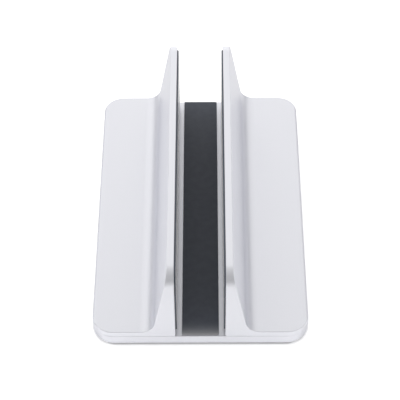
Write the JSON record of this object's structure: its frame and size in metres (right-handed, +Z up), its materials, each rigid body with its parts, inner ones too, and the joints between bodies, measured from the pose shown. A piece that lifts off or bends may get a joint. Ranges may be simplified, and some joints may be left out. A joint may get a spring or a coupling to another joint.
{
  "type": "vertical laptop stand",
  "caption": "Low aluminium desk stand that holds a closed laptop on edge between two padded fins, which slide on the base plate to set the slot's width.",
  "frame": {"origin": "table level under the middle of the stand", "axes": "+X to the right across the slot, +Y along the slot towards the back, +Z up"},
  "size_m": [0.11, 0.165, 0.0554],
  "materials": {
    "anodised_aluminium": "bead-blasted and clear anodised",
    "silicone": "smooth matt sheet",
    "screw_steel": "plain stainless",
    "foot_rubber": "matt"
  },
  "bodies": {
    "base": {"base_plate": "anodised_aluminium", "floor_pad": "silicone", "front_left_foot": "foot_rubber", "front_right_foot": "foot_rubber", "back_left_foot": "foot_rubber", "back_right_foot": "foot_rubber"},
    "left_wing": {"left_wing": "anodised_aluminium", "left_wall_pad": "silicone", "left_screws": "screw_steel", "left_washers": "screw_steel"},
    "right_wing": {"right_wing": "anodised_aluminium", "right_wall_pad": "silicone", "right_screws": "screw_steel", "right_washers": "screw_steel"}
  },
  "joints": [
    {"name": "left_wing_slide", "type": "slide", "parent": "base", "child": "left_wing", "axis": [-1, 0, 0], "range_m": [-0.003, 0.003]},
    {"name": "right_wing_slide", "type": "slide", "parent": "base", "child": "right_wing", "axis": [1, 0, 0], "range_m": [-0.003, 0.003]}
  ]
}
